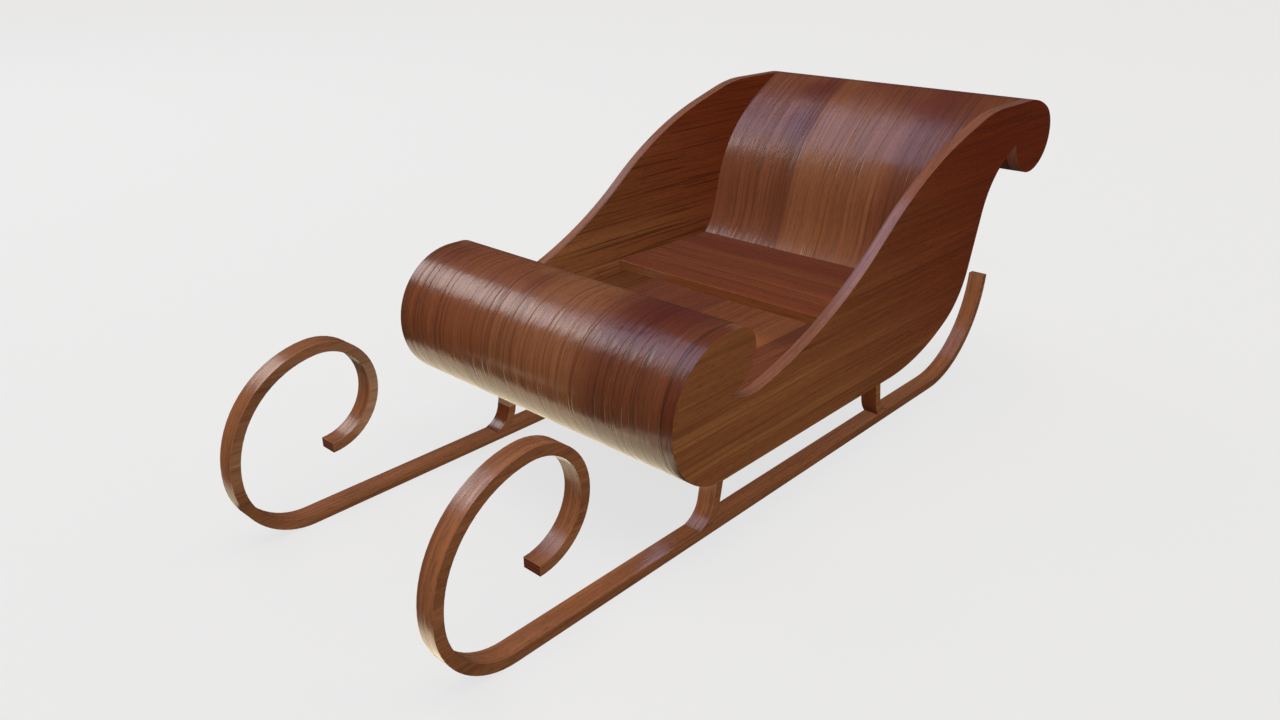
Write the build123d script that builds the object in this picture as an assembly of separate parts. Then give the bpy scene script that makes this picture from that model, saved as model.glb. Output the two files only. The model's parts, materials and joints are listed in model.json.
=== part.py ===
from build123d import *
from collections import namedtuple
from math import atan2, cos, degrees, hypot, radians, sin
import os

# Wooden sled: two shaped side panels hold a rolled front sheet, a rolled back sheet, three floor
# boards and a seat board. Four bent posts carry the body on two runners with a scroll at the front.
# Millimetres. Z is up, the scrolls point to -Y, the sled's own left is +X, and the origin lies on
# the ground under the middle.

# Overall widths and stock
body_width = 540.0
panel_thick = 18.0
sheet_thick = 12.0
floor_thick = 18.0
seat_thick = 15.5
runner_width = 28.0
runner_thick = 14.5
post_inset = 25.25
track = body_width - 2 * panel_thick - 2 * post_inset - runner_width

# Fits: every edge that meets a panel carries a tongue that sits in a groove of the panel
curve_gap = 0.3
tenon_gap = 0.2
tongue_depth = 6.0
sheet_tongue = 4.0
board_tongue = 6.0
seat_tongue = 7.0
seat_shoulder = 20.0

# Heights
body_bottom = 116.5
seat_top = 213.0
floor_bottom = body_bottom + sheet_thick
floor_top = floor_bottom + floor_thick

# Lengthwise positions
front_centre_y = -252.0
rear_bend_y = 170.0
seat_front_y = 105.0
floor_front_y = -250.0
front_lap = 27.0

# Step is one stretch of an outline: a straight of that length where turn is 0,
# else a bend of that radius through turn degrees, left turns positive.
Step = namedtuple("Step", "size turn")

# Side panel, front edge: from the bottom round the nose and the hook to the front notch
nose_radius = 102.5
hook_flat = 20.5
hook_radius = 38.0
lip_radius = 75.0
front_edge = [
    Step(nose_radius, -180.0),
    Step(hook_flat, 0.0),
    Step(hook_radius, -130.0),
    Step(lip_radius, -36.0),
]

# Side panel, rear edge: from the bottom up the neck to the rear notch
rear_sweep_radius = 370.0
rear_corner_radius = 128.5
neck_length = 95.0
neck_radius = 130.5
notch_run = 42.0
rear_edge = [
    Step(rear_sweep_radius, 28.5),
    Step(rear_corner_radius, 45.5),
    Step(neck_length, 0.0),
    Step(neck_radius, -45.5),
    Step(notch_run, 0.0),
]

# Side panel, top edge: from the front notch through the dip up to the level crown
notch_heading = -31.3
dip_radius = 94.0
rise_radius = 700.0
brow_radius = 645.0
brow_run = 59.0
crown_radius = 265.0
top_edge = [
    Step(dip_radius, 43.0),
    Step(rise_radius, 26.5),
    Step(brow_radius, -22.0),
    Step(brow_run, 0.0),
    Step(crown_radius, -16.2),
]
crown_flat = 105.0

# Rear roll: from the end of the crown round to the tip
roll_top_radius = 162.0
roll_back_radius = 55.5
roll_edge = [
    Step(roll_top_radius, -28.0),
    Step(roll_back_radius, -113.0),
]

# Backrest: the sheet leaves the floor at foot_heading, leans back and closes on the crown
foot_heading = 14.0
lean_heading = 78.0
foot_radius = 175.5
shoulder_radius = 227.5
upper_radius = 535.0
upper_heading = 38.2
crest_heading = 26.6
crest_radius = 22.0

# Runner: from the tail end along the sole to the scroll tip, along the middle of the strip
tail_y = 415.5
tail_radius = 174.5
tail_sweep = 87.0
scroll_y = -571.0
scroll_front_radius = 99.0
scroll_top_radius = 144.5
scroll_tip_radius = 75.5
scroll_bends = [
    Step(scroll_front_radius, -86.0),
    Step(scroll_top_radius, -89.5),
    Step(scroll_tip_radius, -184.0),
]

# Posts: strips of the runner's own stock
post_toe_y = -242.5
post_middle_y = 9.0
post_toe_heading = 13.0
post_lean_heading = 80.0
post_bend_radius = 36.5
tenon_width = 18.0
tenon_height = 9.0

# Floor boards, also tongued to each other
board_count = 3


def direction(heading):
    return Vector(cos(radians(heading)), sin(radians(heading)))


def after(point, heading, step):
    """Point at the end of a step that starts at point."""
    if step.turn == 0:
        return point + direction(heading) * step.size
    side = 90 if step.turn > 0 else -90
    centre = point + direction(heading + side) * step.size
    return centre + direction(heading + step.turn - side) * step.size


def walk(point, heading, steps):
    """Point and heading at the end of the steps."""
    for step in steps:
        point = after(point, heading, step)
        heading = heading + step.turn
    return point, heading


def closing_bend(point, heading, target):
    """The bend that leaves point along heading and ends on target."""
    chord = target - point
    swing = degrees(atan2(chord.Y, chord.X)) - heading
    swing = (swing + 180) % 360 - 180
    radius = hypot(chord.X, chord.Y) / (2 * abs(sin(radians(swing))))
    return Step(radius, 2 * swing)


def trace(point, heading, steps, shift=0.0):
    """Edges along the steps, moved sideways by shift, left positive."""
    edges = []
    point = point + direction(heading + 90) * shift
    for step in steps:
        if step.turn == 0:
            end = after(point, heading, step)
            edges.append(Line(point, end))
        else:
            radius = step.size - shift if step.turn > 0 else step.size + shift
            middle = after(point, heading, Step(radius, step.turn / 2))
            end = after(point, heading, Step(radius, step.turn))
            edges.append(ThreePointArc(point, middle, end))
        point = end
        heading = heading + step.turn
    return edges


def strip(point, heading, steps, left, right):
    """Face of a strip that follows the steps, from left to right of the line."""
    one = trace(point, heading, steps, left)
    other = trace(point, heading, steps, right)
    ends = [Line(one[0] @ 0, other[0] @ 0), Line(one[-1] @ 1, other[-1] @ 1)]
    return make_face(one + other + ends)


def across(face, start, width):
    """Solid made by carrying a side-view face from start along X."""
    return extrude(Plane.YZ.offset(start) * face, amount=width, dir=(1, 0, 0))


def block(x_range, y_range, z_range):
    size = [high - low for low, high in (x_range, y_range, z_range)]
    middle = [(high + low) / 2 for low, high in (x_range, y_range, z_range)]
    return Pos(*middle) * Box(*size)


# Side view of the panel
front_start = Vector(front_centre_y, body_bottom)
rear_start = Vector(rear_bend_y, body_bottom)
front_notch, unused = walk(front_start, 180.0, front_edge)
rear_notch, unused = walk(rear_start, 0.0, rear_edge)
crown, crown_heading = walk(front_notch, notch_heading, top_edge)
roll_start = crown + direction(crown_heading) * crown_flat
roll_tip, tip_heading = walk(roll_start, crown_heading, roll_edge)
roll_bends = roll_edge + [closing_bend(roll_tip, tip_heading, rear_notch)]
panel_outline = (
    trace(front_start, 180.0, front_edge)
    + trace(front_notch, notch_heading, top_edge)
    + [Line(crown, roll_start)]
    + trace(roll_start, crown_heading, roll_bends)
    + trace(rear_start, 0.0, rear_edge)
    + [Line(front_start, rear_start)]
)
panel_face = make_face(panel_outline)

# Inside of the body: half the clear width, to the ends of the tongues and to the groove bottoms
inside = body_width / 2 - panel_thick
tongued = inside + tongue_depth
grooved = tongued + tenon_gap


def both_ways(face, half_width):
    """Solid made by carrying a side-view face to both sides of the middle."""
    return across(face, -half_width, 2 * half_width)


def tongued_sheet(point, heading, steps):
    """Bent sheet with a tongue along both ends, and the groove that the tongues need."""
    high = -(sheet_thick - sheet_tongue) / 2
    low = high - sheet_tongue
    sheet = both_ways(strip(point, heading, steps, 0.0, -sheet_thick), inside)
    tongue = both_ways(strip(point, heading, steps, high, low), tongued)
    groove = both_ways(strip(point, heading, steps, high + curve_gap, low - curve_gap), grooved)
    return sheet + tongue, groove


# Front sheet: its outer face is flush with the edges of both panels
front_sheet_start = front_start + Vector(front_lap, 0)
front_sheet_steps = [Step(front_lap, 0.0)] + front_edge
front_sheet, front_groove = tongued_sheet(front_sheet_start, 180.0, front_sheet_steps)

# Back sheet: one strip from the floor up the backrest, over the crown and round the roll
back_bends = [
    Step(foot_radius, lean_heading - foot_heading),
    Step(0.0, 0.0),
    Step(shoulder_radius, upper_heading - lean_heading),
    Step(upper_radius, crest_heading - upper_heading),
    Step(crest_radius, crown_heading - crest_heading),
]
bends_end, unused = walk(Vector(0, 0), foot_heading, back_bends)
back_rise = roll_start.Y - floor_top - bends_end.Y
back_bends[1] = Step(back_rise / sin(radians(lean_heading)), 0.0)
bends_end, unused = walk(Vector(0, 0), foot_heading, back_bends)
back_start = roll_start - bends_end
back_sheet, back_groove = tongued_sheet(back_start, foot_heading, back_bends + roll_bends)

# Seat board: its rear edge follows the backrest, its tongues stop short of both edges
seat_bottom = seat_top - seat_thick
lower_back = back_bends[:2]
lean_top, unused = walk(back_start, foot_heading, lower_back)
behind_back = both_ways(
    strip(back_start, foot_heading, lower_back, curve_gap, -3 * panel_thick), tongued
)
seat_space = ((-inside, inside), (seat_front_y, lean_top.X), (seat_bottom, seat_top))
seat_plank = block(*seat_space) - behind_back
seat_middle = (seat_bottom + seat_top) / 2
seat_tongue_low = seat_middle - seat_tongue / 2
seat_tongue_high = seat_middle + seat_tongue / 2
seat_tongue_y = (seat_front_y + seat_shoulder, seat_plank.bounding_box().max.Y - 2 * seat_shoulder)
seat_tongues = block((-tongued, tongued), seat_tongue_y, (seat_tongue_low, seat_tongue_high))
seat_groove = block((-grooved, grooved), seat_tongue_y, (seat_tongue_low, seat_tongue_high))
seat_board = seat_plank + seat_tongues

# Floor boards: the rear ends are cut square to the foot of the backrest
floor_y = (floor_front_y, back_start.X + floor_thick)
rear_cut = both_ways(
    strip(back_start, foot_heading, [Step(3 * floor_thick, 0.0)], floor_thick, -2 * floor_thick), grooved
)
floor_middle = (floor_bottom + floor_top) / 2
tongue_z = (floor_middle - board_tongue / 2, floor_middle + board_tongue / 2)
floor_groove = block((-grooved, grooved), floor_y, tongue_z) - rear_cut
board_width = 2 * inside / board_count
middle_board = (board_count - 1) / 2
floor_boards = []
for index in range(board_count):
    low_edge = -inside + index * board_width
    high_edge = low_edge + board_width
    board = block((low_edge, high_edge), floor_y, (floor_bottom, floor_top))
    for edge, outward in ((low_edge, -1), (high_edge, 1)):
        away = 1 if edge > 0 else -1
        tongue = block(sorted((edge, edge + away * tongue_depth)), floor_y, tongue_z)
        if (index - middle_board) * outward >= 0:
            board = board + tongue
        else:
            board = board - tongue
    floor_boards.append(board - rear_cut)

# Panels: one outline, grooved on the inside for the sheets, the seat and the floor
side_panels = {}
for side, start in (("left", inside), ("right", -body_width / 2)):
    panel = across(panel_face, start, panel_thick)
    side_panels[side] = panel - front_groove - back_groove - seat_groove - floor_groove

# Runner side view, drawn from the tail end to the scroll tip
half_runner = runner_thick / 2
sole_start = Vector(tail_y, half_runner)
tail_end, tail_heading = walk(sole_start, 0.0, [Step(tail_radius, tail_sweep)])
runner_steps = [Step(tail_radius, -tail_sweep), Step(tail_y - scroll_y, 0.0)] + scroll_bends
runner_face = strip(tail_end, tail_heading + 180.0, runner_steps, half_runner, -half_runner)

# Post side view: the toe runs out on the runner, the top leans to the middle of the sled
post_start = Vector(post_toe_y, runner_thick)
post_bend = Step(post_bend_radius, post_lean_heading - post_toe_heading)
bend_end, unused = walk(post_start, post_toe_heading, [post_bend])
leg_length = (floor_bottom - bend_end.Y) / sin(radians(post_lean_heading))
tenon_length = tenon_height / sin(radians(post_lean_heading))
overrun = Step(leg_length + 2 * tenon_length, 0.0)
post_face = strip(post_start, post_toe_heading, [post_bend, overrun], 0.0, -runner_thick)
mortise_face = strip(bend_end, post_lean_heading, [overrun], tenon_gap, -runner_thick - tenon_gap)


def between(solid, low, high):
    """Part of a solid between two heights."""
    box = solid.bounding_box()
    return solid & block((box.min.X - 1, box.max.X + 1), (box.min.Y - 1, box.max.Y + 1), (low, high))


post_sides = {"left": track / 2, "right": -track / 2}
posts = {}
mortises = []
for side, middle_x in post_sides.items():
    leg = between(across(post_face, middle_x - runner_width / 2, runner_width), runner_thick, floor_bottom)
    tenon = across(post_face, middle_x - tenon_width / 2, tenon_width)
    tenon = between(tenon, floor_bottom, floor_bottom + tenon_height)
    hole_width = tenon_width + 2 * tenon_gap
    hole = across(mortise_face, middle_x - hole_width / 2, hole_width)
    hole = between(hole, floor_bottom, floor_bottom + tenon_height + tenon_gap)
    rear_place = Pos(0, 2 * post_middle_y, 0)
    posts["front_" + side] = leg + tenon
    posts["rear_" + side] = rear_place * mirror(leg + tenon, about=Plane.XZ)
    mortises.append(hole)
    mortises.append(rear_place * mirror(hole, about=Plane.XZ))

# Named pieces
pieces = {
    "front_sheet": front_sheet,
    "back_sheet": back_sheet,
    "seat_board": seat_board,
}
for index, place in enumerate(("right", "middle", "left")):
    pieces["floor_board_" + place] = floor_boards[index] - mortises
for side, middle_x in post_sides.items():
    pieces["side_panel_" + side] = side_panels[side]
    pieces["runner_" + side] = across(runner_face, middle_x - runner_width / 2, runner_width)
for place, post in posts.items():
    pieces["post_" + place] = post

os.makedirs("parts", exist_ok=True)
for name, piece in pieces.items():
    export_step(piece, "parts/" + name + ".step")
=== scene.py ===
"""Looks of a walnut sled: sanded edges, lacquered veneer grain and a plain studio round it."""
import json
from collections import namedtuple
from math import pi, radians
from typing import NamedTuple

import bmesh
import bpy
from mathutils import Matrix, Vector

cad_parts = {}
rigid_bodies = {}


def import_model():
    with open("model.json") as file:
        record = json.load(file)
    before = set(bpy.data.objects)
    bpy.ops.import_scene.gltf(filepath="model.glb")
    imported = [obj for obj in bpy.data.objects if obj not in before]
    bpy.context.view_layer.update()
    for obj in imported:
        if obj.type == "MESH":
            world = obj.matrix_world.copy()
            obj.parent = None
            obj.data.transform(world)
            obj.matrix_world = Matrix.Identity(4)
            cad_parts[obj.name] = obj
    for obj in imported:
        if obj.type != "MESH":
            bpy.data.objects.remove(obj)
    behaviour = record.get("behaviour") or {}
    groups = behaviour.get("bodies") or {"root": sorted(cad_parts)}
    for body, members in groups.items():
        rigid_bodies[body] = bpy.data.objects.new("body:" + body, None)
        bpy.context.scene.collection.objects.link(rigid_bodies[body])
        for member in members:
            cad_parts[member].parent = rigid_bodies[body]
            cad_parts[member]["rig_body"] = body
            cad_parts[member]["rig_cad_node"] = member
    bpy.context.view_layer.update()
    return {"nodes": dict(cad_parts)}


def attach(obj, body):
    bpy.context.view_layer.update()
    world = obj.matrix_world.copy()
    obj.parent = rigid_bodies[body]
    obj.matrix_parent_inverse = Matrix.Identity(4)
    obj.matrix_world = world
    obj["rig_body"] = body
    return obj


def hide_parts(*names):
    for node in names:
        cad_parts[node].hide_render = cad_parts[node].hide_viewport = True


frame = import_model()

bl_info = {
    "name": "Walnut sled",
    "version": (1, 0, 0),
    "blender": (4, 5, 0),
    "location": "View3D > Sidebar > Sled",
    "description": "Finishes the pieces of a wooden sled in lacquered walnut and sets up its studio",
    "category": "Object",
}

MM = 0.001


def linear(hex_colour):
    """Linear RGBA of an sRGB hex colour."""
    parts = [int(hex_colour[i:i + 2], 16) / 255 for i in (1, 3, 5)]
    return tuple(p / 12.92 if p <= 0.04045 else ((p + 0.055) / 1.055) ** 2.4 for p in parts) + (1.0,)


def colour(name, description, hex_colour):
    """Colour property with an sRGB hex default."""
    return bpy.props.FloatVectorProperty(
        name=name, description=description, subtype="COLOR", size=4, min=0.0, max=1.0,
        default=linear(hex_colour),
    )


def millimetres(name, description, default):
    """Length property with a default in millimetres."""
    return bpy.props.FloatProperty(
        name=name, description=description, default=default * MM, min=0.0, unit="LENGTH", precision=4,
    )


class SledFinish(bpy.types.PropertyGroup):
    """Sizes and colours of the joiner's finish, with painted shade, reflection and sheen on some faces."""
    edge_round: millimetres("Edge round", "Radius of the sanded edges", 0.5)
    veneer_dark: colour("Veneer dark", "Darker bands of the bent veneer", "#6C3D26")
    veneer: colour("Veneer", "Main tone of the bent veneer", "#724129")
    veneer_light: colour("Veneer light", "Golden bands of the bent veneer", "#76452C")
    panel_dark: colour("Panel dark", "Darker bands of the side panels", "#683F1F")
    panel: colour("Panel", "Main tone of the side panels", "#744728")
    panel_light: colour("Panel light", "Golden bands of the side panels", "#7E512E")
    # Painted shade and reflection: darker and redder upwards and rearwards, where the panels reflect less
    # floor light
    panel_painted_shade: colour("Panel rear", "Redder wood towards the rear roll", "#5E230B")
    # Lighter, pinker edges: partly the wood of the edges and partly a painted sheen
    panel_edge_and_sheen: colour("Panel edge", "Sanded edges of the side panels", "#784D3C")
    panel_rim: colour("Panel rim", "Edges of the side panels round the front roll", "#54281A")
    seat_dark: colour("Seat dark", "Darker bands of the seat board", "#6B341B")
    seat: colour("Seat", "Main tone of the seat board", "#723C1F")
    seat_light: colour("Seat light", "Lighter bands of the seat board", "#7C4525")
    # Painted shade: the seat board is darker towards the backrest, in the corner between them
    seat_painted_shade: colour("Seat rear", "Darker wood of the seat board towards the backrest", "#4A1A0E")
    # Painted reflection: the seat board's front and end faces are toned apart from its top
    seat_edge_painted_reflection: colour("Seat edge", "Front face of the seat board", "#693C1E")
    runner_dark: colour("Runner dark", "Darker bands of the runners", "#6B4328")
    runner: colour("Runner", "Main tone of the runners", "#764B30")
    runner_light: colour("Runner light", "Lighter bands of the runners", "#815538")
    runner_edge: colour("Runner outside", "Outer and inner faces of the runners", "#7E4F33")
    # The posts' front and rear faces carry painted shade; their sides keep a lighter tone
    post: colour("Post", "Sides of the two-toned posts", "#845634")
    post_face_painted_shade: colour("Post face", "Front and rear faces of the two-toned posts", "#51200E")
    end_grain: colour("End grain", "Sawn tips of the runners", "#5E2C1C")
    # This dark tone also paints the shade in the grooves
    growth_line_and_shade: colour("Growth line", "End of a growth ring, pores and checks", "#35170A")
    heartwood: colour("Heartwood", "Purple clouds in the veneer", "#4E1E19")


class SledStage(bpy.types.PropertyGroup):
    """Floor, lamps and camera."""
    floor_colour: colour("Floor", "Pale studio floor", "#EBEBEB")
    floor_shade: colour("Floor shade", "The floor as the object's own bounce light sees it", "#101010")
    sky_colour: colour("Sky box", "Cool light of the far soft box", "#B6C6F6")
    roll_colour: colour("Roll box", "Slightly cool light along the front roll", "#DCE6FF")
    lamp_colour: colour("Lamps", "Light of the other soft boxes", "#FFF8F0")
    ground_colour: colour("Floor card", "Warm light that the floor sends up", "#FFF0CE")
    camera_place: bpy.props.FloatVectorProperty(
        name="Camera", description="Place of the camera", subtype="TRANSLATION", unit="LENGTH",
        default=(0.93261, -1.13652, 0.77),
    )
    camera_turn: bpy.props.FloatVectorProperty(
        name="Camera turn", description="Pitch, roll and heading of the camera", subtype="EULER",
        default=(radians(66.236), 0.0, radians(42.396)),
    )
    camera_lens: bpy.props.FloatProperty(
        name="Lens", description="Focal length on a 36 mm wide sensor", default=27.818, unit="CAMERA",
    )


# Faces round the outline of a piece: their normals lie off the axis called across, and they have fibres
# and a tone of their own, and another tone at the front end of the sled if it is given. On the seat this
# tone is a painted reflection, on the posts painted shade, and on the side panels partly a painted sheen
Rim = namedtuple("Rim", "across fibres tone front_tone", defaults=(None,))
# Leaf of wood across the sled: where it starts and how softly, in millimetres, and its tone as shares
# of the main tone
Leaf = namedtuple("Leaf", "start seam tone")
# Dark band in the veneer: middle and half width in millimetres, share of the growth lines' tone
Band = namedtuple("Band", "middle half_width share")
# Heartwood cloud: centre and radius in millimetres, share of the heartwood tone
Cloud = namedtuple("Cloud", "centre radius share")


class Walnut(NamedTuple):
    """One walnut look. Lengths are in millimetres."""
    # Tones of the darker bands, of the body and of the lighter bands
    dark: tuple
    middle: tuple
    light: tuple
    # Axes that the fibres run along
    fibres: str
    rim: Rim = None
    # Painted shade: the tone that the surface is painted towards upwards and rearwards
    tail: tuple = None
    # Leaves from right to left. The first one fills all that lies before the second.
    leaves: tuple = ()
    bands: tuple = ()
    clouds: tuple = ()
    # Strengths of the growth lines and of the fine grooves along the fibres, which are darkened with
    # painted shade
    lines: float = 0.5
    checks: float = 0.0
    # Height of the waves that bending leaves
    ripples: float = 0.0
    # How far the fibres wander
    sway: float = 6.0
    # How far the streaks lighten and darken the wood, as a share
    streaks: float = 0.14
    # Share of the gloss that the wood lacks
    matt: float = 0.0
    # Thickness of the strips that a bent piece is glued up from, where its end shows them
    plies: float = 0.0


# Patterns in the wood: width across the fibres in millimetres, width as a share of the length along
# them, number of finer octaves. Real fibres and pores are a tenth of a millimetre wide: they are drawn
# some millimetres wide, so that they show from a step away.
Pattern = namedtuple("Pattern", "name width stretch detail")
PATTERNS = (
    Pattern("figure", 55.0, 0.03, 2.0),
    Pattern("streak", 7.0, 0.025, 2.0),
    Pattern("fibre", 2.6, 0.025, 1.0),
    Pattern("pore", 2.0, 0.14, 1.0),
    Pattern("line", 4.2, 0.01, 1.0),
    Pattern("groove", 17.0, 0.015, 1.0),
    Pattern("ripple", 10.0, 0.6, 1.0),
)
ROUND_BEND = "YZ"
LENGTHWISE = "Y"
CROSSWISE = "X"

# Half the clear width between the side panels, and the floor boards' seams, in millimetres
INSIDE = 252.0
SEAM = INSIDE / 3

# Levels of the noise: the middle, and the span that most of it lies in
NOISE_MIDDLE = 0.5
NOISE_LOW = 0.3
NOISE_HIGH = 0.7
# Levels at which the figure is fully dark and fully light
DARK_LEVEL = 0.34
LIGHT_LEVEL = 0.66
# Levels between which growth lines, pores and glue lines fade in, and the half width of a groove
RING_LEVELS = (0.54, 0.68)
PORE_LEVELS = (0.56, 0.72)
GLUE_LEVELS = (0.5, 1.0)
GROOVE_LEVEL = 0.015
# Shares of the growth lines' tone in pores and in grooves, where it is painted shade, and how far fibres
# lighten and darken the wood
PORE_SHARE = 0.35
GROOVE_PAINTED_SHADE = 0.48
FIBRE_SHARE = 0.1
# Heights and depths in millimetres, some of them more than the real ones, so that the gloss shows them
STREAK_HEIGHT = 0.25
FIBRE_HEIGHT = 0.1
PORE_DEPTH = 0.06
GROOVE_DEPTH = 0.28
# Lengths in millimetres: over which the fibres wander, over which the painted shade of the tail comes in,
# and where the rim's front tone ends
DRIFT_LENGTH = 170.0
PAINTED_SHADE_LENGTH = 900.0
FRONT_RIM = (-250.0, -215.0)
# A rim's normal has less than this along its axis, and its own tone has this share
RIM_LIMIT = 0.7
RIM_SHARE = 0.85
# Part of a cloud's radius that has its full tone
CLOUD_CORE = 0.2
# Satin lacquer: roughness of low and high streaks, refraction and the shader's plain specular level
ROUGH_STREAK = 0.3
SLEEK_STREAK = 0.17
LACQUER_IOR = 1.5
SPECULAR_LEVEL = 0.5

# Sockets of the Mix node: factor, both vectors, both colours
FACTOR, FROM_VECTOR, TO_VECTOR, FROM, TO = 0, 4, 5, 6, 7


def add_node(tree, kind, inputs=(), output=None, **settings):
    """Add a shader node; each input is a value or the socket that feeds it. Returns an output."""
    node = tree.nodes.new("ShaderNode" + kind)
    for key, value in settings.items():
        setattr(node, key, value)
    for key, value in inputs.items() if isinstance(inputs, dict) else enumerate(inputs):
        if isinstance(value, bpy.types.NodeSocket):
            tree.links.new(value, node.inputs[key])
        else:
            node.inputs[key].default_value = value
    if output is None:
        return next((socket for socket in node.outputs if socket.enabled), None)
    return node.outputs[output]


def grain_scale(fibres, stretch):
    """Scale of a pattern on each axis: small along the fibres."""
    return tuple(stretch if axis in fibres else 1.0 for axis in "XYZ")


def lacquered_walnut(name, wood, finish):
    """Walnut under satin lacquer: soft figure, fine fibres, thin growth lines, streaked warm gloss, painted
    shade in the grooves, and the tail and rim tones that the wood is given, which are painted light on some
    pieces.
    """
    material = bpy.data.materials.new(name)
    material.use_nodes = True
    tree = material.node_tree
    tree.nodes.clear()
    smooth = {"interpolation_type": "SMOOTHSTEP"}
    mixed = {"data_type": "RGBA"}
    place = add_node(tree, "TexCoord", output="Object")
    spot = add_node(tree, "VectorMath", {0: place, "Scale": 1 / MM}, operation="SCALE")
    # The fibres wander by a few millimetres over the length of a hand
    drift = add_node(tree, "TexNoise", {"Vector": spot, "Scale": 1 / DRIFT_LENGTH, "Detail": 1.0}, "Color")
    drift = add_node(tree, "VectorMath", (drift, (NOISE_MIDDLE,) * 3), operation="SUBTRACT")
    sway = add_node(tree, "VectorMath", {0: drift, "Scale": wood.sway}, operation="SCALE")
    spot = add_node(tree, "VectorMath", (spot, sway), operation="ADD")
    if wood.rim:
        normal = add_node(tree, "TexCoord", output="Normal")
        facing = add_node(tree, "SeparateXYZ", (normal,), wood.rim.across)
        facing = add_node(tree, "Math", (facing,), operation="ABSOLUTE")
        on_rim = add_node(tree, "Math", (facing, RIM_LIMIT), operation="LESS_THAN")
    noise = {}
    for pattern in PATTERNS:
        grain = grain_scale(wood.fibres, pattern.stretch)
        grain = add_node(tree, "VectorMath", (spot, grain), operation="MULTIPLY")
        if wood.rim:
            rim_grain = grain_scale(wood.rim.fibres, pattern.stretch)
            rim_grain = add_node(tree, "VectorMath", (spot, rim_grain), operation="MULTIPLY")
            inputs = {FACTOR: on_rim, FROM_VECTOR: grain, TO_VECTOR: rim_grain}
            grain = add_node(tree, "Mix", inputs, data_type="VECTOR")
        inputs = {"Vector": grain, "Scale": 1 / pattern.width, "Detail": pattern.detail}
        noise[pattern.name] = add_node(tree, "TexNoise", inputs)

    # Broad bands of darker and golden wood
    share = add_node(tree, "MapRange", (noise["figure"], DARK_LEVEL, NOISE_MIDDLE), **smooth)
    body = add_node(tree, "Mix", {FACTOR: share, FROM: wood.dark, TO: wood.middle}, **mixed)
    share = add_node(tree, "MapRange", (noise["figure"], NOISE_MIDDLE, LIGHT_LEVEL), **smooth)
    body = add_node(tree, "Mix", {FACTOR: share, FROM: body, TO: wood.light}, **mixed)
    # Painted shade: darker and redder upwards and rearwards
    if wood.tail:
        rearward = add_node(tree, "VectorMath", (spot, (0.0, 1.0, 1.0)), "Value", operation="DOT_PRODUCT")
        share = add_node(tree, "MapRange", (rearward, 0.0, PAINTED_SHADE_LENGTH), **smooth)
        body = add_node(tree, "Mix", {FACTOR: share, FROM: body, TO: wood.tail}, **mixed)
    # Rim faces take their own tone: a painted reflection on the seat, painted shade on the posts, partly a
    # painted sheen on the side panels
    if wood.rim:
        tone = wood.rim.tone
        if wood.rim.front_tone:
            along = add_node(tree, "SeparateXYZ", (spot,), "Y")
            share = add_node(tree, "MapRange", (along, *FRONT_RIM), **smooth)
            tone = add_node(tree, "Mix", {FACTOR: share, FROM: wood.rim.front_tone, TO: tone}, **mixed)
        share = add_node(tree, "Math", (on_rim, RIM_SHARE), operation="MULTIPLY")
        body = add_node(tree, "Mix", {FACTOR: share, FROM: body, TO: tone}, **mixed)
    across = add_node(tree, "SeparateXYZ", (spot,), "X")
    if wood.leaves:
        tint = wood.leaves[0].tone
        for leaf in wood.leaves[1:]:
            seam = (across, leaf.start - leaf.seam, leaf.start + leaf.seam)
            share = add_node(tree, "MapRange", seam, **smooth)
            tint = add_node(tree, "Mix", {FACTOR: share, FROM: tint, TO: leaf.tone}, **mixed)
        body = add_node(tree, "Mix", {FACTOR: 1.0, FROM: body, TO: tint}, blend_type="MULTIPLY", **mixed)
    for band in wood.bands:
        away = add_node(tree, "Math", (across, band.middle), operation="SUBTRACT")
        away = add_node(tree, "Math", (away,), operation="ABSOLUTE")
        share = add_node(tree, "MapRange", (away, 0.0, band.half_width, band.share, 0.0), **smooth)
        body = add_node(tree, "Mix", {FACTOR: share, FROM: body, TO: finish.growth_line_and_shade}, **mixed)
    for cloud in wood.clouds:
        lean = add_node(tree, "VectorMath", {0: drift, "Scale": cloud.radius}, operation="SCALE")
        lean = add_node(tree, "VectorMath", (spot, lean), operation="ADD")
        distance = add_node(tree, "VectorMath", (lean, cloud.centre), "Value", operation="DISTANCE")
        fade = (distance, CLOUD_CORE * cloud.radius, cloud.radius, cloud.share, 0.0)
        share = add_node(tree, "MapRange", fade, **smooth)
        body = add_node(tree, "Mix", {FACTOR: share, FROM: body, TO: finish.heartwood}, **mixed)
    # Streaks and fibres
    span = (NOISE_LOW, NOISE_HIGH)
    tone = add_node(tree, "MapRange", (noise["streak"], *span, 1.0 - wood.streaks, 1.0 + wood.streaks))
    fine = add_node(tree, "MapRange", (noise["fibre"], *span, 1.0 - FIBRE_SHARE, 1.0 + FIBRE_SHARE))
    tone = add_node(tree, "Math", (tone, fine), operation="MULTIPLY")
    body = add_node(tree, "VectorMath", {0: body, "Scale": tone}, operation="SCALE")
    # Growth lines, with short pores between them
    ring = add_node(tree, "MapRange", (noise["line"], *RING_LEVELS, 0.0, wood.lines), **smooth)
    pore = add_node(tree, "MapRange", (noise["pore"], *PORE_LEVELS, 0.0, PORE_SHARE), **smooth)
    dark_lines = add_node(tree, "Math", (ring, pore), operation="MAXIMUM")
    if wood.plies:
        level = add_node(tree, "SeparateXYZ", (spot,), "Z")
        turns = add_node(tree, "Math", (level, 2 * pi / wood.plies), operation="MULTIPLY")
        turns = add_node(tree, "Math", (turns,), operation="SINE")
        glue = add_node(tree, "MapRange", (turns, *GLUE_LEVELS), **smooth)
        dark_lines = add_node(tree, "Math", (dark_lines, glue), operation="MAXIMUM")
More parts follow.
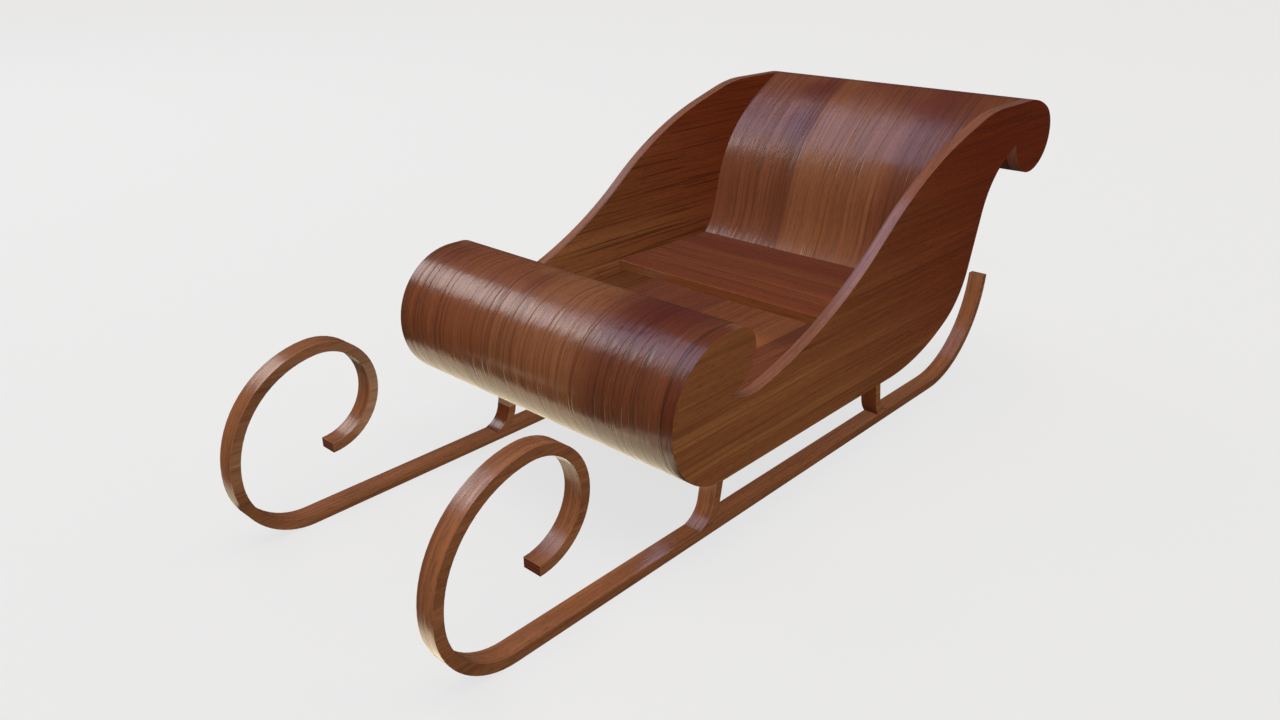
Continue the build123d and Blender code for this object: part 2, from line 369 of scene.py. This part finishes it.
    # Grooves: thin cracks along the fibres, drawn a millimetre wide so that they show, and darkened with
    # painted shade
    groove = add_node(tree, "Math", (noise["groove"], NOISE_MIDDLE), operation="SUBTRACT")
    groove = add_node(tree, "Math", (groove,), operation="ABSOLUTE")
    groove = add_node(tree, "MapRange", (groove, 0.0, GROOVE_LEVEL, wood.checks, 0.0), **smooth)
    shade = add_node(tree, "Math", (groove, GROOVE_PAINTED_SHADE), operation="MULTIPLY")
    dark_lines = add_node(tree, "Math", (dark_lines, shade), operation="MAXIMUM")
    body = add_node(tree, "Mix", {FACTOR: dark_lines, FROM: body, TO: finish.growth_line_and_shade}, **mixed)

    roughness = add_node(tree, "MapRange", (noise["streak"], *span, ROUGH_STREAK, SLEEK_STREAK))
    # Height of the surface in millimetres
    height = add_node(tree, "Math", (noise["streak"], STREAK_HEIGHT), operation="MULTIPLY")
    height = add_node(tree, "Math", (noise["fibre"], FIBRE_HEIGHT, height), operation="MULTIPLY_ADD")
    height = add_node(tree, "Math", (pore, -PORE_DEPTH, height), operation="MULTIPLY_ADD")
    height = add_node(tree, "Math", (groove, -GROOVE_DEPTH, height), operation="MULTIPLY_ADD")
    height = add_node(tree, "Math", (noise["ripple"], wood.ripples, height), operation="MULTIPLY_ADD")
    bump = add_node(tree, "Bump", {"Strength": 1.0, "Distance": MM, "Height": height})
    surface = {
        "Base Color": body, "Roughness": roughness, "IOR": LACQUER_IOR, "Normal": bump,
        "Specular IOR Level": SPECULAR_LEVEL * (1.0 - wood.matt),
    }
    shader = add_node(tree, "BsdfPrincipled", surface)
    add_node(tree, "OutputMaterial", (shader,))
    return material


# Copies of the CAD nodes: distance at which points are merged, and angles in degrees up to which facets
# are flat, past which an edge is sanded, and up to which faces shade smoothly
MERGE_DISTANCE = 0.01 * MM
FLAT_ANGLE = 0.1
SANDED_ANGLE = 35.0
SMOOTH_ANGLE = 50.0
EDGE_SEGMENTS = 2


def finished_copy(node_name, material, edge_round, mirrored=False):
    """Copy of a CAD node with merged facets and sanded edges, which stands for the node."""
    node = frame["nodes"][node_name]
    bpy.ops.object.select_all(action="DESELECT")
    node.select_set(True)
    bpy.context.view_layer.objects.active = node
    bpy.ops.object.duplicate()
    piece = bpy.context.view_layer.objects.active
    piece.name = "lacquered_" + node_name
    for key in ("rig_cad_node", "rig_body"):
        del piece[key]
    bpy.ops.object.mode_set(mode="EDIT")
    bpy.ops.mesh.select_mode(type="EDGE")
    bpy.ops.mesh.select_all(action="SELECT")
    bpy.ops.mesh.customdata_custom_splitnormals_clear()
    bpy.ops.mesh.remove_doubles(threshold=MERGE_DISTANCE)
    bpy.ops.mesh.dissolve_limited(angle_limit=radians(FLAT_ANGLE))
    bpy.ops.mesh.normals_make_consistent(inside=False)
    bpy.ops.mesh.select_all(action="DESELECT")
    shape = bmesh.from_edit_mesh(piece.data)
    for line in shape.edges:
        line.select = line.is_manifold and line.calc_face_angle_signed() > radians(SANDED_ANGLE)
    bmesh.update_edit_mesh(piece.data)
    bpy.ops.mesh.bevel(offset=edge_round, segments=EDGE_SEGMENTS, affect="EDGES", clamp_overlap=True)
    bpy.ops.object.mode_set(mode="OBJECT")
    bpy.ops.object.shade_smooth_by_angle(angle=radians(SMOOTH_ANGLE))
    bpy.ops.object.modifier_add(type="WEIGHTED_NORMAL")
    piece.modifiers[-1].keep_sharp = True
    bpy.ops.object.modifier_apply(modifier=piece.modifiers[-1].name)
    # The satin gloss shows the studio and the mirrored pieces, and not the other neighbours
    piece.visible_glossy = mirrored
    piece.data.materials.clear()
    piece.data.materials.append(material)
    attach(piece, "root")
    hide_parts(node_name)
    return piece


class SLED_OT_bent_sheets(bpy.types.Operator):
    """Finish the rolled front and back sheets"""
    bl_idname = "sled.bent_sheets"
    bl_label = "Bent sheets"

    def execute(self, context):
        finish = context.scene.sled_finish
        veneer = Walnut(
            finish.veneer_dark, finish.veneer, finish.veneer_light, fibres=ROUND_BEND,
            lines=0.4, checks=1.0, ripples=0.4, sway=14.0, streaks=0.08,
        )
        # The veneer is dark along its joints with the side panels
        glue_lines = (Band(-INSIDE, 3.0, 0.7), Band(INSIDE, 3.0, 0.7))
        front = veneer._replace(
            leaves=(
                Leaf(-INSIDE, 1.0, (0.88, 0.86, 0.83, 1.0)), Leaf(-SEAM, 40.0, (1.03, 1.2, 1.22, 1.0)),
                Leaf(105.0, 40.0, (0.66, 0.64, 0.66, 1.0)),
            ),
            bands=glue_lines + (Band(190.0, 60.0, 0.12),),
            clouds=(
                Cloud((160.0, -255.0, 320.0), 110.0, 0.9), Cloud((-45.0, -262.0, 321.0), 45.0, 0.35),
                Cloud((-215.0, -275.0, 318.0), 50.0, 0.35),
            ),
        )
        back = veneer._replace(
            leaves=(
                Leaf(-INSIDE, 1.0, (0.79, 0.8, 0.84, 1.0)), Leaf(-SEAM, 3.0, (1.05, 1.22, 1.18, 1.0)),
                Leaf(SEAM, 30.0, (0.69, 0.68, 0.71, 1.0)),
            ),
            bands=glue_lines + (Band(-108.0, 30.0, 0.28), Band(60.0, 22.0, 0.1), Band(140.0, 30.0, 0.14)),
            lines=0.38, checks=0.7, ripples=0.28, streaks=0.12,
            clouds=(
                Cloud((-115.0, 540.0, 484.0), 70.0, 0.8), Cloud((60.0, 560.0, 492.0), 170.0, 0.6),
                Cloud((-112.0, 455.0, 425.0), 60.0, 0.5),
            ),
        )
        for node_name, wood, mirrored in (("front_sheet", front, True), ("back_sheet", back, False)):
            material = lacquered_walnut("walnut_veneer_" + node_name, wood, finish)
            finished_copy(node_name, material, finish.edge_round, mirrored)
        return {"FINISHED"}


class SLED_OT_side_panels(bpy.types.Operator):
    """Finish both shaped side panels"""
    bl_idname = "sled.side_panels"
    bl_label = "Side panels"

    def execute(self, context):
        finish = context.scene.sled_finish
        # The panels are painted darker and redder upwards and rearwards, and part of their edges' tone is a
        # painted sheen
        wood = Walnut(
            finish.panel_dark, finish.panel, finish.panel_light, fibres=LENGTHWISE,
            rim=Rim("X", ROUND_BEND, finish.panel_edge_and_sheen, finish.panel_rim), tail=finish.panel_painted_shade,
            checks=0.6, sway=5.0, streaks=0.11,
        )
        # The right panel's wood is lighter, with stronger growth lines
        right = wood._replace(lines=0.68, leaves=(Leaf(-INSIDE, 1.0, (1.07, 1.2, 1.26, 1.0)),))
        for side, look in (("left", wood._replace(lines=0.34)), ("right", right)):
            material = lacquered_walnut("walnut_side_panel_" + side, look, finish)
            finished_copy("side_panel_" + side, material, finish.edge_round)
        return {"FINISHED"}


class SLED_OT_floor(bpy.types.Operator):
    """Finish the three floor boards"""
    bl_idname = "sled.floor"
    bl_label = "Floor boards"

    def execute(self, context):
        finish = context.scene.sled_finish
        wood = Walnut(
            finish.veneer_dark, finish.veneer, finish.veneer_light, fibres=LENGTHWISE,
            leaves=(
                Leaf(-INSIDE, 0.5, (0.96, 0.81, 0.84, 1.0)), Leaf(-SEAM, 0.5, (1.38, 1.35, 1.11, 1.0)),
                Leaf(SEAM, 0.5, (0.72, 0.63, 0.62, 1.0)),
            ),
            lines=0.35,
        )
        material = lacquered_walnut("walnut_floor_board", wood, finish)
        for place in ("left", "middle", "right"):
            finished_copy("floor_board_" + place, material, finish.edge_round, mirrored=True)
        return {"FINISHED"}


class SLED_OT_seat(bpy.types.Operator):
    """Finish the seat board"""
    bl_idname = "sled.seat"
    bl_label = "Seat board"

    def execute(self, context):
        finish = context.scene.sled_finish
        # The seat is painted darker towards the backrest, and its front face carries a painted reflection
        wood = Walnut(
            finish.seat_dark, finish.seat, finish.seat_light, fibres=CROSSWISE,
            rim=Rim("Z", CROSSWISE, finish.seat_edge_painted_reflection), tail=finish.seat_painted_shade, sway=8.0, streaks=0.09,
        )
        material = lacquered_walnut("walnut_seat_board", wood, finish)
        finished_copy("seat_board", material, finish.edge_round)
        return {"FINISHED"}


# Where the scrolls of the runners end, in metres, how near to it the sawn faces are, and how squarely
# they face the front
SCROLL_TIP_Y = -0.53
TIP_REACH = 2 * MM
TIP_FACING = 0.9


class SLED_OT_runners(bpy.types.Operator):
    """Finish the runners and their posts"""
    bl_idname = "sled.runners"
    bl_label = "Runners and posts"

    def execute(self, context):
        finish = context.scene.sled_finish
        wood = Walnut(
            finish.runner_dark, finish.runner, finish.runner_light, fibres=LENGTHWISE,
            rim=Rim("X", ROUND_BEND, finish.runner_edge), lines=0.35, checks=0.5, ripples=0.2,
        )
        # All posts but the left front one get painted shade: dark front and rear faces, with lighter sides
        painted_shade_posts = wood._replace(middle=finish.post, rim=Rim("X", ROUND_BEND, finish.post_face_painted_shade))
        sawn = Walnut(
            finish.end_grain, finish.end_grain, finish.end_grain, fibres=CROSSWISE, matt=0.9, plies=4.8,
        )
        bentwood = lacquered_walnut("walnut_bentwood", wood, finish)
        bentwood_painted_shade = lacquered_walnut("walnut_bentwood_painted_shade", painted_shade_posts, finish)
        end_grain = lacquered_walnut("walnut_end_grain", sawn, finish)
        for side in ("left", "right"):
            post_wood = bentwood if side == "left" else bentwood_painted_shade
            finished_copy("post_front_" + side, post_wood, finish.edge_round)
            finished_copy("post_rear_" + side, bentwood_painted_shade, finish.edge_round)
            runner = finished_copy("runner_" + side, bentwood, finish.edge_round)
            runner.data.materials.append(end_grain)
            for face in runner.data.polygons:
                if face.normal.y < -TIP_FACING and abs(face.center.y - SCROLL_TIP_Y) < TIP_REACH:
                    face.material_index = 1
        return {"FINISHED"}


# Soft box without shadows, so that the inside of the sled isn't dark: place and edge lengths in metres,
# power in watts, what sees it, what it is aimed at, straight up if that isn't given, and its turn about
# its own axis in degrees
Lamp = namedtuple(
    "Lamp", "name place width length power colour seen_by aim spin", defaults=("both", None, 0.0),
)

# Even light from one direction, without gloss: watts to the square metre, and whether it casts the soft
# shadow on the floor
Fill = namedtuple("Fill", "name direction energy shadow", defaults=(False,))

# Studio: width of the floor in metres, strength of its glow and the share of it that shows, share of the
# pale background that gloss sees, light of the air, spread of the even lights in degrees, and the width
# of the camera's sensor in millimetres
FLOOR_SIZE = 80.0
FLOOR_GLOW = 0.94
GLOW_SHARE = 0.85
GLOSS_SHARE = 0.01
AIR_LIGHT = 0.05
FILL_SPREAD = 50.0
SENSOR_WIDTH = 36.0


def background_share(tree):
    """How much of the pale background a ray sees: camera and see-through rays all of it, gloss a little."""
    paths = add_node(tree, "LightPath", output="Is Camera Ray")
    seen = add_node(tree, "Math", (paths, paths.node.outputs["Is Transmission Ray"]), operation="ADD")
    gloss = paths.node.outputs["Is Glossy Ray"]
    return add_node(tree, "Math", (gloss, GLOSS_SHARE, seen), operation="MULTIPLY_ADD", use_clamp=True)


class SLED_OT_stage(bpy.types.Operator):
    """Set up the floor, the soft lamps and the camera"""
    bl_idname = "sled.stage"
    bl_label = "Studio"

    def execute(self, context):
        stage = context.scene.sled_stage
        bpy.ops.object.select_all(action="DESELECT")
        bpy.ops.mesh.primitive_plane_add(size=FLOOR_SIZE, location=(0.0, 0.0, 0.0))
        floor = context.object
        floor.name = "studio_floor"
        paper = bpy.data.materials.new("pale_paper")
        paper.use_nodes = True
        tree = paper.node_tree
        tree.nodes.clear()
        seen = background_share(tree)
        shade = {FACTOR: seen, FROM: stage.floor_shade, TO: stage.floor_colour}
        matt = add_node(tree, "BsdfDiffuse", {"Color": add_node(tree, "Mix", shade, data_type="RGBA")})
        glow = add_node(tree, "Emission", {"Color": stage.floor_colour, "Strength": FLOOR_GLOW})
        share = add_node(tree, "Math", (seen, GLOW_SHARE), operation="MULTIPLY")
        add_node(tree, "OutputMaterial", (add_node(tree, "MixShader", (share, matt, glow)),))
        floor.data.materials.append(paper)
        sky, cool, plain = stage.sky_colour, stage.roll_colour, stage.lamp_colour
        ground = stage.ground_colour
        middle = (0.0, 0.0, 0.25)
        near_post = (0.213, -0.232, 0.02)
        lamps = (
            Lamp("sky_box", (-5.93, -1.81, 10.52), 8.2, 3.1, 230.0, sky, aim=middle, spin=-18.7),
            Lamp("roll_box", (-8.21, -3.42, 8.3), 6.25, 2.65, 100.0, cool, aim=middle, spin=-30.5),
            Lamp("left_box", (-4.87, -1.68, 3.84), 2.75, 1.9, 68.0, plain, aim=(-0.25, -0.36, 0.25)),
            Lamp("rear_box", (1.6, 3.0, 2.4), 2.0, 2.0, 12.0, plain, "gloss", middle),
            Lamp("floor_bounce", (0.0, 0.0, 0.003), 3.0, 3.0, 8.0, ground, "diffuse"),
            Lamp("roll_card", (-0.14, -0.29, 0.05), 0.64, 0.28, 0.84, ground, "gloss"),
            Lamp("near_card", (0.115, -0.69, 0.004), 0.17, 0.09, 0.11, ground, "gloss"),
            Lamp("tip_card", (0.045, -0.52, 0.004), 0.08, 0.16, 0.052, ground, "gloss"),
            Lamp("post_card", (0.161, -0.251, 0.103), 0.08, 0.04, 0.025, sky, "gloss", near_post),
            Lamp("far_card", (-0.4, -0.68, 0.004), 0.2, 0.12, 0.07, ground, "gloss"),
        )
        for lamp in lamps:
            bpy.ops.object.light_add(type="AREA", location=lamp.place)
            light = context.object
            light.name = lamp.name
            light.data.shape = "RECTANGLE"
            light.data.size = lamp.width
            light.data.size_y = lamp.length
            light.data.energy = lamp.power
            light.data.color = lamp.colour[:3]
            light.data.use_shadow = False
            light.visible_camera = False
            light.visible_diffuse = lamp.seen_by != "gloss"
            light.visible_glossy = lamp.seen_by != "diffuse"
            aim = lamp.aim or (lamp.place[0], lamp.place[1], 1.0)
            away = Vector(lamp.place) - Vector(aim)
            light.rotation_euler = away.to_track_quat("Z", "Y").to_euler()
            light.rotation_euler.rotate_axis("Z", radians(lamp.spin))
        fills = (
            Fill("camera_light", (0.6, -0.68, 0.42), 2.75),
            Fill("overhead_light", (0.0, 0.0, 1.0), 1.0, True),
            Fill("top_light", (0.08, -0.1, 1.0), 0.45),
            Fill("rear_light", (0.38, 0.75, 0.54), 0.9),
            Fill("far_side_light", (-0.85, 0.1, 0.5), 0.8),
        )
        for fill in fills:
            bpy.ops.object.light_add(type="SUN", location=fill.direction)
            light = context.object
            light.name = fill.name
            light.data.energy = fill.energy
            light.data.color = plain[:3]
            light.data.angle = radians(FILL_SPREAD)
            light.data.use_shadow = fill.shadow
            light.visible_glossy = False
            light.rotation_euler = light.location.to_track_quat("Z", "Y").to_euler()
        world = bpy.data.worlds.new("studio_air")
        context.scene.world = world
        world.use_nodes = True
        air = world.node_tree
        air.nodes.clear()
        strength = add_node(air, "MapRange", (background_share(air), 0.0, 1.0, AIR_LIGHT, 1.0))
        backdrop = add_node(air, "Background", (stage.floor_colour, strength))
        add_node(air, "OutputWorld", (backdrop,))
        bpy.ops.object.camera_add(location=stage.camera_place, rotation=stage.camera_turn)
        camera = context.object
        camera.name = "studio_camera"
        camera.data.sensor_width = SENSOR_WIDTH
        camera.data.lens = stage.camera_lens
        context.scene.camera = camera
        context.scene.view_settings.view_transform = "Standard"
        return {"FINISHED"}


STEPS = (
    SLED_OT_bent_sheets, SLED_OT_side_panels, SLED_OT_floor, SLED_OT_seat, SLED_OT_runners, SLED_OT_stage,
)


class SLED_PT_panel(bpy.types.Panel):
    """Sizes, colours and steps of the sled"""
    bl_idname = "SLED_PT_panel"
    bl_label = "Walnut sled"
    bl_space_type = "VIEW_3D"
    bl_region_type = "UI"
    bl_category = "Sled"

    def draw(self, context):
        for step in STEPS:
            self.layout.operator(step.bl_idname)
        for group in (context.scene.sled_finish, context.scene.sled_stage):
            for name in group.__annotations__:
                self.layout.prop(group, name)


CLASSES = (SledFinish, SledStage) + STEPS + (SLED_PT_panel,)


def register():
    for item in CLASSES:
        bpy.utils.register_class(item)
    bpy.types.Scene.sled_finish = bpy.props.PointerProperty(type=SledFinish)
    bpy.types.Scene.sled_stage = bpy.props.PointerProperty(type=SledStage)


def unregister():
    del bpy.types.Scene.sled_stage
    del bpy.types.Scene.sled_finish
    for item in reversed(CLASSES):
        bpy.utils.unregister_class(item)


def main():
    register()
    bpy.ops.sled.bent_sheets()
    bpy.ops.sled.side_panels()
    bpy.ops.sled.floor()
    bpy.ops.sled.seat()
    bpy.ops.sled.runners()
    bpy.ops.sled.stage()


if __name__ == "__main__":
    main()
